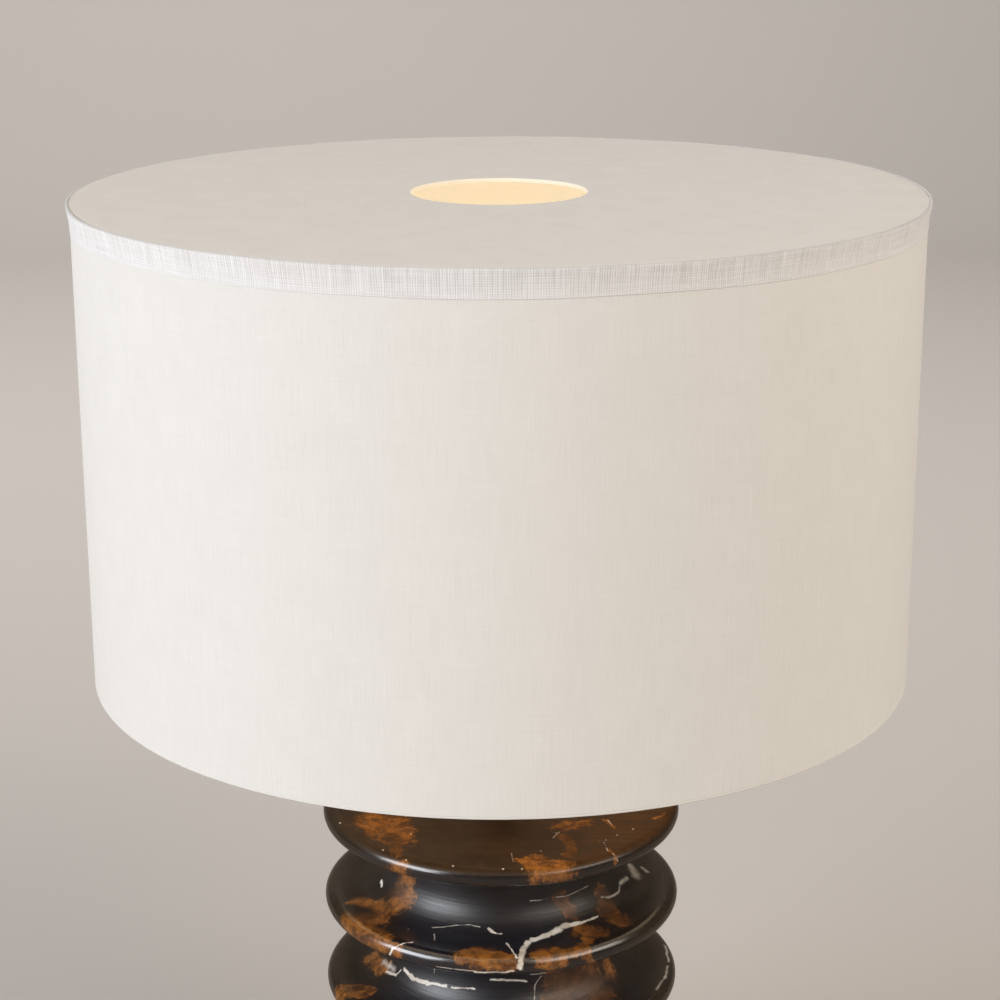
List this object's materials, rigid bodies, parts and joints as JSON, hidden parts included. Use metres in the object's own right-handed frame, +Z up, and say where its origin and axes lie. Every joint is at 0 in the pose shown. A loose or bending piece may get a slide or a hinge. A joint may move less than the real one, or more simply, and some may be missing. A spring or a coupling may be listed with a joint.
{
  "type": "table lamp",
  "caption": "Table lamp with a turned, ribbed marble body, a harp and socket on a neck, and a straight linen drum shade with a disc top.",
  "frame": {"origin": "centre of the underside of the felt pad, on the lamp's axis", "axes": "+Z up the lamp's axis, -Y to the front, +Y to the cord outlet at the back, +X to the right"},
  "size_m": [0.4449, 0.445, 0.607],
  "materials": {
    "marble": "polished, black to dark brown with rust patches and pale veins",
    "felt": "black felt",
    "steel": "zinc plated",
    "brass": "satin",
    "neck_bronze": "dark bronze, satin",
    "black_plastic": "satin",
    "knob_plastic": "gloss",
    "liner_board": "matt",
    "bulb_metal": "satin",
    "bulb_glass": "frosted white",
    "linen": "off-white linen",
    "trim_linen": "greige linen",
    "shade_backing": "white, satin"
  },
  "bodies": {
    "base": {"marble_body": "marble", "base_pad": "felt", "pocket_washer": "steel", "pocket_nut": "steel", "lamp_pipe": "brass", "cord_bushing": "black_plastic", "seating_ring": "neck_bronze", "neck_tube": "neck_bronze", "harp_saddle": "brass", "saddle_nut": "steel", "socket_cap": "brass", "socket_shell": "brass", "socket_liner": "liner_board", "socket_block": "black_plastic", "terminal_screws": "brass", "screw_shell": "bulb_metal", "centre_contact": "brass", "harp": "brass", "harp_stud": "brass"},
    "shade": {"spider": "brass", "shade_top_ring": "brass", "shade_bottom_ring": "brass", "shade_panel": "shade_backing", "shade_linen": "linen", "top_board": "shade_backing", "top_linen": "trim_linen", "top_band": "trim_linen", "bottom_hem": "linen"},
    "finial_turn": {"finial": "brass"},
    "bulb": {"bulb_globe": "bulb_glass", "bulb_base": "bulb_metal", "bulb_insulator": "black_plastic", "bulb_contact": "steel"},
    "switch": {"switch_spindle": "brass", "switch_knob": "knob_plastic"},
    "left_sleeve": {"ferrule_left": "brass"},
    "right_sleeve": {"ferrule_right": "brass"}
  },
  "joints": [
    {"name": "shade_turn", "type": "hinge", "parent": "base", "child": "shade", "pos_m": [0, 0, 0.579], "axis": [0, 0, 1], "continuous": true},
    {"name": "finial_turn", "type": "hinge", "parent": "base", "child": "finial_turn", "pos_m": [0, 0, 0.585], "axis": [0, 0, 1], "continuous": true},
    {"name": "bulb_turn", "type": "hinge", "parent": "base", "child": "bulb", "pos_m": [0, 0, 0.38], "axis": [0, 0, 1], "continuous": true},
    {"name": "switch_turn", "type": "hinge", "parent": "base", "child": "switch", "pos_m": [0, -0.023, 0.35785], "axis": [0, -1, 0], "continuous": true},
    {"name": "left_sleeve_lift", "type": "slide", "parent": "base", "child": "left_sleeve", "axis": [0, 0, 1], "range_m": [0, 0.012]},
    {"name": "right_sleeve_lift", "type": "slide", "parent": "base", "child": "right_sleeve", "axis": [0, 0, 1], "range_m": [0, 0.012]}
  ]
}
